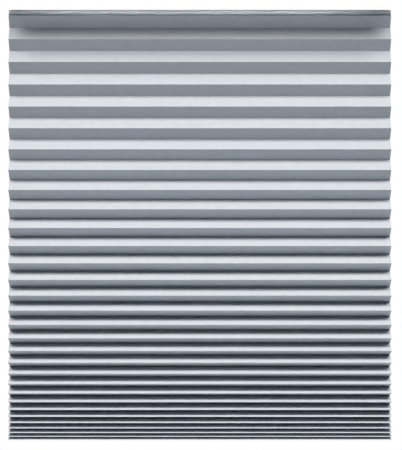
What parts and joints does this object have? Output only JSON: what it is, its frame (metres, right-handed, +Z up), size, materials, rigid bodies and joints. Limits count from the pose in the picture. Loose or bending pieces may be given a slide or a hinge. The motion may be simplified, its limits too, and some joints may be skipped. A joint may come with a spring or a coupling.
{
  "type": "pleated window shade",
  "caption": "Stick-up pleated cloth window shade, hanging open from its adhesive tape; its panels fold together at the creases to gather it up.",
  "frame": {"origin": "middle of the adhesive tape's upper face, where it sticks to the window recess", "axes": "+Z up, out of the tape's sticky face; +X along the width; +Y towards the window, so the room side faces -Y"},
  "size_m": [0.9, 0.0347, 1.0136],
  "materials": {
    "cloth": "matt white non-woven cloth with sharp pressed creases",
    "tape": "translucent off-white double-sided tape"
  },
  "bodies": {
    "top": {"adhesive_tape": "tape", "top_panel": "cloth"},
    "panel_01": {"panel_01": "cloth"},
    "panel_02": {"panel_02": "cloth"},
    "panel_03": {"panel_03": "cloth"},
    "panel_04": {"panel_04": "cloth"},
    "panel_05": {"panel_05": "cloth"},
    "panel_06": {"panel_06": "cloth"},
    "panel_07": {"panel_07": "cloth"},
    "panel_08": {"panel_08": "cloth"},
    "panel_09": {"panel_09": "cloth"},
    "panel_10": {"panel_10": "cloth"},
    "panel_11": {"panel_11": "cloth"},
    "panel_12": {"panel_12": "cloth"},
    "panel_13": {"panel_13": "cloth"},
    "panel_14": {"panel_14": "cloth"},
    "panel_15": {"panel_15": "cloth"},
    "panel_16": {"panel_16": "cloth"},
    "panel_17": {"panel_17": "cloth"},
    "panel_18": {"panel_18": "cloth"},
    "panel_19": {"panel_19": "cloth"},
    "panel_20": {"panel_20": "cloth"},
    "panel_21": {"panel_21": "cloth"},
    "panel_22": {"panel_22": "cloth"},
    "panel_23": {"panel_23": "cloth"},
    "panel_24": {"panel_24": "cloth"},
    "panel_25": {"panel_25": "cloth"},
    "panel_26": {"panel_26": "cloth"},
    "panel_27": {"panel_27": "cloth"},
    "panel_28": {"panel_28": "cloth"},
    "panel_29": {"panel_29": "cloth"},
    "panel_30": {"panel_30": "cloth"},
    "panel_31": {"panel_31": "cloth"},
    "panel_32": {"panel_32": "cloth"},
    "panel_33": {"panel_33": "cloth"},
    "panel_34": {"panel_34": "cloth"},
    "panel_35": {"panel_35": "cloth"},
    "panel_36": {"panel_36": "cloth"},
    "panel_37": {"panel_37": "cloth"},
    "panel_38": {"panel_38": "cloth"},
    "panel_39": {"panel_39": "cloth"},
    "panel_40": {"panel_40": "cloth"},
    "panel_41": {"panel_41": "cloth"},
    "panel_42": {"panel_42": "cloth"},
    "panel_43": {"panel_43": "cloth"},
    "panel_44": {"panel_44": "cloth"},
    "panel_45": {"panel_45": "cloth"},
    "panel_46": {"panel_46": "cloth"},
    "panel_47": {"panel_47": "cloth"},
    "panel_48": {"panel_48": "cloth"},
    "panel_49": {"panel_49": "cloth"},
    "panel_50": {"panel_50": "cloth"},
    "panel_51": {"panel_51": "cloth"},
    "panel_52": {"panel_52": "cloth"},
    "panel_53": {"panel_53": "cloth"},
    "panel_54": {"panel_54": "cloth"},
    "panel_55": {"panel_55": "cloth"},
    "panel_56": {"panel_56": "cloth"},
    "panel_57": {"panel_57": "cloth"},
    "bottom_pleats": {"bottom_pleats": "cloth"}
  },
  "joints": [
    {"name": "crease_01", "type": "hinge", "parent": "top", "child": "panel_01", "pos_m": [0, -0.0171, -0.01513], "axis": [1, 0, 0], "range_deg": [0, 61.08], "stiffness_Nm_per_rad": 0.02, "springref_deg": 47.39},
    {"name": "crease_02", "type": "hinge", "parent": "panel_01", "child": "panel_02", "pos_m": [0, -0.00273, -0.0426], "axis": [1, 0, 0], "range_deg": [-121.4, 0], "stiffness_Nm_per_rad": 0.02, "springref_deg": -47.8},
    {"name": "crease_03", "type": "hinge", "parent": "panel_02", "child": "panel_03", "pos_m": [0, -0.01747, -0.06987], "axis": [1, 0, 0], "range_deg": [0, 119.84], "stiffness_Nm_per_rad": 0.02, "springref_deg": 48.21},
    {"name": "crease_04", "type": "hinge", "parent": "panel_03", "child": "panel_04", "pos_m": [0, -0.00235, -0.09693], "axis": [1, 0, 0], "range_deg": [-118.24, 0], "stiffness_Nm_per_rad": 0.02, "springref_deg": -48.59},
    {"name": "crease_05", "type": "hinge", "parent": "panel_04", "child": "panel_05", "pos_m": [0, -0.01785, -0.12378], "axis": [1, 0, 0], "range_deg": [0, 116.59], "stiffness_Nm_per_rad": 0.02, "springref_deg": 48.96},
    {"name": "crease_06", "type": "hinge", "parent": "panel_05", "child": "panel_06", "pos_m": [0, -0.00196, -0.1504], "axis": [1, 0, 0], "range_deg": [-114.9, 0], "stiffness_Nm_per_rad": 0.02, "springref_deg": -49.3},
    {"name": "crease_07", "type": "hinge", "parent": "panel_06", "child": "panel_07", "pos_m": [0, -0.01825, -0.17678], "axis": [1, 0, 0], "range_deg": [0, 113.17], "stiffness_Nm_per_rad": 0.02, "springref_deg": 49.62},
    {"name": "crease_08", "type": "hinge", "parent": "panel_07", "child": "panel_08", "pos_m": [0, -0.00156, -0.20291], "axis": [1, 0, 0], "range_deg": [-111.4, 0], "stiffness_Nm_per_rad": 0.02, "springref_deg": -49.91},
    {"name": "crease_09", "type": "hinge", "parent": "panel_08", "child": "panel_09", "pos_m": [0, -0.01865, -0.22877], "axis": [1, 0, 0], "range_deg": [0, 109.58], "stiffness_Nm_per_rad": 0.02, "springref_deg": 50.18},
    {"name": "crease_10", "type": "hinge", "parent": "panel_09", "child": "panel_10", "pos_m": [0, -0.00115, -0.25436], "axis": [1, 0, 0], "range_deg": [-107.73, 0], "stiffness_Nm_per_rad": 0.02, "springref_deg": -50.41},
    {"name": "crease_11", "type": "hinge", "parent": "panel_10", "child": "panel_11", "pos_m": [0, -0.01907, -0.27966], "axis": [1, 0, 0], "range_deg": [0, 105.84], "stiffness_Nm_per_rad": 0.02, "springref_deg": 50.6},
    {"name": "crease_12", "type": "hinge", "parent": "panel_11", "child": "panel_12", "pos_m": [0, -0.00073, -0.30466], "axis": [1, 0, 0], "range_deg": [-103.92, 0], "stiffness_Nm_per_rad": 0.02, "springref_deg": -50.76},
    {"name": "crease_13", "type": "hinge", "parent": "panel_12", "child": "panel_13", "pos_m": [0, -0.01949, -0.32934], "axis": [1, 0, 0], "range_deg": [0, 101.97], "stiffness_Nm_per_rad": 0.02, "springref_deg": 50.87},
    {"name": "crease_14", "type": "hinge", "parent": "panel_13", "child": "panel_14", "pos_m": [0, -0.00031, -0.35369], "axis": [1, 0, 0], "range_deg": [-99.98, 0], "stiffness_Nm_per_rad": 0.02, "springref_deg": -50.94},
    {"name": "crease_15", "type": "hinge", "parent": "panel_14", "child": "panel_15", "pos_m": [0, -0.01991, -0.37771], "axis": [1, 0, 0], "range_deg": [0, 97.97], "stiffness_Nm_per_rad": 0.02, "springref_deg": 50.97},
    {"name": "crease_16", "type": "hinge", "parent": "panel_15", "child": "panel_16", "pos_m": [0, 0.00011, -0.40138], "axis": [1, 0, 0], "range_deg": [-95.93, 0], "stiffness_Nm_per_rad": 0.02, "springref_deg": -50.94},
    {"name": "crease_17", "type": "hinge", "parent": "panel_16", "child": "panel_17", "pos_m": [0, -0.02033, -0.42469], "axis": [1, 0, 0], "range_deg": [0, 93.88], "stiffness_Nm_per_rad": 0.02, "springref_deg": 50.87},
    {"name": "crease_18", "type": "hinge", "parent": "panel_17", "child": "panel_18", "pos_m": [0, 0.00053, -0.44762], "axis": [1, 0, 0], "range_deg": [-91.8, 0], "stiffness_Nm_per_rad": 0.02, "springref_deg": -50.74},
    {"name": "crease_19", "type": "hinge", "parent": "panel_18", "child": "panel_19", "pos_m": [0, -0.02074, -0.47017], "axis": [1, 0, 0], "range_deg": [0, 89.71], "stiffness_Nm_per_rad": 0.02, "springref_deg": 50.55},
    {"name": "crease_20", "type": "hinge", "parent": "panel_19", "child": "panel_20", "pos_m": [0, 0.00094, -0.49233], "axis": [1, 0, 0], "range_deg": [-87.61, 0], "stiffness_Nm_per_rad": 0.02, "springref_deg": -50.31},
    {"name": "crease_21", "type": "hinge", "parent": "panel_20", "child": "panel_21", "pos_m": [0, -0.02115, -0.51409], "axis": [1, 0, 0], "range_deg": [0, 85.5], "stiffness_Nm_per_rad": 0.02, "springref_deg": 50.01},
    {"name": "crease_22", "type": "hinge", "parent": "panel_21", "child": "panel_22", "pos_m": [0, 0.00133, -0.53543], "axis": [1, 0, 0], "range_deg": [-83.38, 0], "stiffness_Nm_per_rad": 0.02, "springref_deg": -49.66},
    {"name": "crease_23", "type": "hinge", "parent": "panel_22", "child": "panel_23", "pos_m": [0, -0.02154, -0.55636], "axis": [1, 0, 0], "range_deg": [0, 81.26], "stiffness_Nm_per_rad": 0.02, "springref_deg": 49.24},
    {"name": "crease_24", "type": "hinge", "parent": "panel_23", "child": "panel_24", "pos_m": [0, 0.00172, -0.57685], "axis": [1, 0, 0], "range_deg": [-79.14, 0], "stiffness_Nm_per_rad": 0.02, "springref_deg": -48.77},
    {"name": "crease_25", "type": "hinge", "parent": "panel_24", "child": "panel_25", "pos_m": [0, -0.02191, -0.59692], "axis": [1, 0, 0], "range_deg": [0, 77.02], "stiffness_Nm_per_rad": 0.02, "springref_deg": 48.24},
    {"name": "crease_26", "type": "hinge", "parent": "panel_25", "child": "panel_26", "pos_m": [0, 0.00208, -0.61654], "axis": [1, 0, 0], "range_deg": [-74.9, 0], "stiffness_Nm_per_rad": 0.02, "springref_deg": -47.65},
    {"name": "crease_27", "type": "hinge", "parent": "panel_26", "child": "panel_27", "pos_m": [0, -0.02227, -0.63572], "axis": [1, 0, 0], "range_deg": [0, 72.8], "stiffness_Nm_per_rad": 0.02, "springref_deg": 47},
    {"name": "crease_28", "type": "hinge", "parent": "panel_27", "child": "panel_28", "pos_m": [0, 0.00243, -0.65445], "axis": [1, 0, 0], "range_deg": [-70.7, 0], "stiffness_Nm_per_rad": 0.02, "springref_deg": -46.3},
    {"name": "crease_29", "type": "hinge", "parent": "panel_28", "child": "panel_29", "pos_m": [0, -0.02261, -0.67272], "axis": [1, 0, 0], "range_deg": [0, 68.61], "stiffness_Nm_per_rad": 0.02, "springref_deg": 45.54},
    {"name": "crease_30", "type": "hinge", "parent": "panel_29", "child": "panel_30", "pos_m": [0, 0.00276, -0.69054], "axis": [1, 0, 0], "range_deg": [-66.53, 0], "stiffness_Nm_per_rad": 0.02, "springref_deg": -44.72},
    {"name": "crease_31", "type": "hinge", "parent": "panel_30", "child": "panel_31", "pos_m": [0, -0.02293, -0.70789], "axis": [1, 0, 0], "range_deg": [0, 64.47], "stiffness_Nm_per_rad": 0.02, "springref_deg": 43.85},
    {"name": "crease_32", "type": "hinge", "parent": "panel_31", "child": "panel_32", "pos_m": [0, 0.00307, -0.72478], "axis": [1, 0, 0], "range_deg": [-62.42, 0], "stiffness_Nm_per_rad": 0.02, "springref_deg": -42.94},
    {"name": "crease_33", "type": "hinge", "parent": "panel_32", "child": "panel_33", "pos_m": [0, -0.02322, -0.7412], "axis": [1, 0, 0], "range_deg": [0, 60.38], "stiffness_Nm_per_rad": 0.02, "springref_deg": 41.97},
    {"name": "crease_34", "type": "hinge", "parent": "panel_33", "child": "panel_34", "pos_m": [0, 0.00335, -0.75716], "axis": [1, 0, 0], "range_deg": [-58.37, 0], "stiffness_Nm_per_rad": 0.02, "springref_deg": -40.95},
    {"name": "crease_35", "type": "hinge", "parent": "panel_34", "child": "panel_35", "pos_m": [0, -0.0235, -0.77265], "axis": [1, 0, 0], "range_deg": [0, 56.36], "stiffness_Nm_per_rad": 0.02, "springref_deg": 39.89},
    {"name": "crease_36", "type": "hinge", "parent": "panel_35", "child": "panel_36", "pos_m": [0, 0.00362, -0.78767], "axis": [1, 0, 0], "range_deg": [-54.38, 0], "stiffness_Nm_per_rad": 0.02, "springref_deg": -38.78},
    {"name": "crease_37", "type": "hinge", "parent": "panel_36", "child": "panel_37", "pos_m": [0, -0.02375, -0.80221], "axis": [1, 0, 0], "range_deg": [0, 52.41], "stiffness_Nm_per_rad": 0.02, "springref_deg": 37.63},
    {"name": "crease_38", "type": "hinge", "parent": "panel_37", "child": "panel_38", "pos_m": [0, 0.00386, -0.81629], "axis": [1, 0, 0], "range_deg": [-50.45, 0], "stiffness_Nm_per_rad": 0.02, "springref_deg": -36.44},
    {"name": "crease_39", "type": "hinge", "parent": "panel_38", "child": "panel_39", "pos_m": [0, -0.02399, -0.8299], "axis": [1, 0, 0], "range_deg": [0, 48.51], "stiffness_Nm_per_rad": 0.02, "springref_deg": 35.21},
    {"name": "crease_40", "type": "hinge", "parent": "panel_39", "child": "panel_40", "pos_m": [0, 0.00409, -0.84303], "axis": [1, 0, 0], "range_deg": [-46.59, 0], "stiffness_Nm_per_rad": 0.02, "springref_deg": -33.95},
    {"name": "crease_41", "type": "hinge", "parent": "panel_40", "child": "panel_41", "pos_m": [0, -0.02421, -0.85569], "axis": [1, 0, 0], "range_deg": [0, 44.68], "stiffness_Nm_per_rad": 0.02, "springref_deg": 32.65},
    {"name": "crease_42", "type": "hinge", "parent": "panel_41", "child": "panel_42", "pos_m": [0, 0.0043, -0.86789], "axis": [1, 0, 0], "range_deg": [-42.79, 0], "stiffness_Nm_per_rad": 0.02, "springref_deg": -31.31},
    {"name": "crease_43", "type": "hinge", "parent": "panel_42", "child": "panel_43", "pos_m": [0, -0.0244, -0.87961], "axis": [1, 0, 0], "range_deg": [0, 40.91], "stiffness_Nm_per_rad": 0.02, "springref_deg": 29.95},
    {"name": "crease_44", "type": "hinge", "parent": "panel_43", "child": "panel_44", "pos_m": [0, 0.00448, -0.89086], "axis": [1, 0, 0], "range_deg": [-39.05, 0], "stiffness_Nm_per_rad": 0.02, "springref_deg": -28.55},
    {"name": "crease_45", "type": "hinge", "parent": "panel_44", "child": "panel_45", "pos_m": [0, -0.02458, -0.90164], "axis": [1, 0, 0], "range_deg": [0, 37.2], "stiffness_Nm_per_rad": 0.02, "springref_deg": 27.13},
    {"name": "crease_46", "type": "hinge", "parent": "panel_45", "child": "panel_46", "pos_m": [0, 0.00465, -0.91195], "axis": [1, 0, 0], "range_deg": [-35.36, 0], "stiffness_Nm_per_rad": 0.02, "springref_deg": -25.68},
    {"name": "crease_47", "type": "hinge", "parent": "panel_46", "child": "panel_47", "pos_m": [0, -0.02474, -0.9218], "axis": [1, 0, 0], "range_deg": [0, 33.53], "stiffness_Nm_per_rad": 0.02, "springref_deg": 24.2},
    {"name": "crease_48", "type": "hinge", "parent": "panel_47", "child": "panel_48", "pos_m": [0, 0.00481, -0.93117], "axis": [1, 0, 0], "range_deg": [-31.71, 0], "stiffness_Nm_per_rad": 0.02, "springref_deg": -22.7},
    {"name": "crease_49", "type": "hinge", "parent": "panel_48", "child": "panel_49", "pos_m": [0, -0.02489, -0.94008], "axis": [1, 0, 0], "range_deg": [0, 29.9], "stiffness_Nm_per_rad": 0.02, "springref_deg": 21.18},
    {"name": "crease_50", "type": "hinge", "parent": "panel_49", "child": "panel_50", "pos_m": [0, 0.00494, -0.94851], "axis": [1, 0, 0], "range_deg": [-28.1, 0], "stiffness_Nm_per_rad": 0.02, "springref_deg": -19.64},
    {"name": "crease_51", "type": "hinge", "parent": "panel_50", "child": "panel_51", "pos_m": [0, -0.02502, -0.95648], "axis": [1, 0, 0], "range_deg": [0, 26.31], "stiffness_Nm_per_rad": 0.02, "springref_deg": 18.08},
    {"name": "crease_52", "type": "hinge", "parent": "panel_51", "child": "panel_52", "pos_m": [0, 0.00506, -0.96398], "axis": [1, 0, 0], "range_deg": [-24.52, 0], "stiffness_Nm_per_rad": 0.02, "springref_deg": -16.5},
    {"name": "crease_53", "type": "hinge", "parent": "panel_52", "child": "panel_53", "pos_m": [0, -0.02513, -0.97101], "axis": [1, 0, 0], "range_deg": [0, 22.74], "stiffness_Nm_per_rad": 0.02, "springref_deg": 14.9},
    {"name": "crease_54", "type": "hinge", "parent": "panel_53", "child": "panel_54", "pos_m": [0, 0.00517, -0.97758], "axis": [1, 0, 0], "range_deg": [-20.97, 0], "stiffness_Nm_per_rad": 0.02, "springref_deg": -13.29},
    {"name": "crease_55", "type": "hinge", "parent": "panel_54", "child": "panel_55", "pos_m": [0, -0.02523, -0.98367], "axis": [1, 0, 0], "range_deg": [0, 19.19], "stiffness_Nm_per_rad": 0.02, "springref_deg": 11.67},
    {"name": "crease_56", "type": "hinge", "parent": "panel_55", "child": "panel_56", "pos_m": [0, 0.00526, -0.98929], "axis": [1, 0, 0], "range_deg": [-17.43, 0], "stiffness_Nm_per_rad": 0.02, "springref_deg": -10.03},
    {"name": "crease_57", "type": "hinge", "parent": "panel_56", "child": "panel_57", "pos_m": [0, -0.02531, -0.99444], "axis": [1, 0, 0], "range_deg": [0, 15.66], "stiffness_Nm_per_rad": 0.02, "springref_deg": 8.38},
    {"name": "crease_58", "type": "hinge", "parent": "panel_57", "child": "bottom_pleats", "pos_m": [0, 0.00534, -0.99912], "axis": [1, 0, 0], "range_deg": [-7.39, 0], "stiffness_Nm_per_rad": 0.02, "springref_deg": -6.72}
  ],
  "couplings": [
    {"joint": "crease_02", "follows": "crease_01", "ratio": -1.9874},
    {"joint": "crease_03", "follows": "crease_01", "ratio": 1.9619},
    {"joint": "crease_04", "follows": "crease_01", "ratio": -1.9357},
    {"joint": "crease_05", "follows": "crease_01", "ratio": 1.9088},
    {"joint": "crease_06", "follows": "crease_01", "ratio": -1.8811},
    {"joint": "crease_07", "follows": "crease_01", "ratio": 1.8528},
    {"joint": "crease_08", "follows": "crease_01", "ratio": -1.8238},
    {"joint": "crease_09", "follows": "crease_01", "ratio": 1.7941},
    {"joint": "crease_10", "follows": "crease_01", "ratio": -1.7638},
    {"joint": "crease_11", "follows": "crease_01", "ratio": 1.7328},
    {"joint": "crease_12", "follows": "crease_01", "ratio": -1.7014},
    {"joint": "crease_13", "follows": "crease_01", "ratio": 1.6694},
    {"joint": "crease_14", "follows": "crease_01", "ratio": -1.6369},
    {"joint": "crease_15", "follows": "crease_01", "ratio": 1.6039},
    {"joint": "crease_16", "follows": "crease_01", "ratio": -1.5706},
    {"joint": "crease_17", "follows": "crease_01", "ratio": 1.5369},
    {"joint": "crease_18", "follows": "crease_01", "ratio": -1.5029},
    {"joint": "crease_19", "follows": "crease_01", "ratio": 1.4687},
    {"joint": "crease_20", "follows": "crease_01", "ratio": -1.4343},
    {"joint": "crease_21", "follows": "crease_01", "ratio": 1.3997},
    {"joint": "crease_22", "follows": "crease_01", "ratio": -1.365},
    {"joint": "crease_23", "follows": "crease_01", "ratio": 1.3303},
    {"joint": "crease_24", "follows": "crease_01", "ratio": -1.2956},
    {"joint": "crease_25", "follows": "crease_01", "ratio": 1.2609},
    {"joint": "crease_26", "follows": "crease_01", "ratio": -1.2263},
    {"joint": "crease_27", "follows": "crease_01", "ratio": 1.1918},
    {"joint": "crease_28", "follows": "crease_01", "ratio": -1.1574},
    {"joint": "crease_29", "follows": "crease_01", "ratio": 1.1232},
    {"joint": "crease_30", "follows": "crease_01", "ratio": -1.0892},
    {"joint": "crease_31", "follows": "crease_01", "ratio": 1.0555},
    {"joint": "crease_32", "follows": "crease_01", "ratio": -1.0219},
    {"joint": "crease_33", "follows": "crease_01", "ratio": 0.98859},
    {"joint": "crease_34", "follows": "crease_01", "ratio": -0.95554},
    {"joint": "crease_35", "follows": "crease_01", "ratio": 0.92274},
    {"joint": "crease_36", "follows": "crease_01", "ratio": -0.89021},
    {"joint": "crease_37", "follows": "crease_01", "ratio": 0.85795},
    {"joint": "crease_38", "follows": "crease_01", "ratio": -0.82596},
    {"joint": "crease_39", "follows": "crease_01", "ratio": 0.79423},
    {"joint": "crease_40", "follows": "crease_01", "ratio": -0.76275},
    {"joint": "crease_41", "follows": "crease_01", "ratio": 0.73153},
    {"joint": "crease_42", "follows": "crease_01", "ratio": -0.70054},
    {"joint": "crease_43", "follows": "crease_01", "ratio": 0.6698},
    {"joint": "crease_44", "follows": "crease_01", "ratio": -0.63927},
    {"joint": "crease_45", "follows": "crease_01", "ratio": 0.60895},
    {"joint": "crease_46", "follows": "crease_01", "ratio": -0.57883},
    {"joint": "crease_47", "follows": "crease_01", "ratio": 0.5489},
    {"joint": "crease_48", "follows": "crease_01", "ratio": -0.51913},
    {"joint": "crease_49", "follows": "crease_01", "ratio": 0.48952},
    {"joint": "crease_50", "follows": "crease_01", "ratio": -0.46005},
    {"joint": "crease_51", "follows": "crease_01", "ratio": 0.4307},
    {"joint": "crease_52", "follows": "crease_01", "ratio": -0.40147},
    {"joint": "crease_53", "follows": "crease_01", "ratio": 0.37232},
    {"joint": "crease_54", "follows": "crease_01", "ratio": -0.34325},
    {"joint": "crease_55", "follows": "crease_01", "ratio": 0.31425},
    {"joint": "crease_56", "follows": "crease_01", "ratio": -0.28528},
    {"joint": "crease_57", "follows": "crease_01", "ratio": 0.25634},
    {"joint": "crease_58", "follows": "crease_01", "ratio": -0.12094}
  ]
}
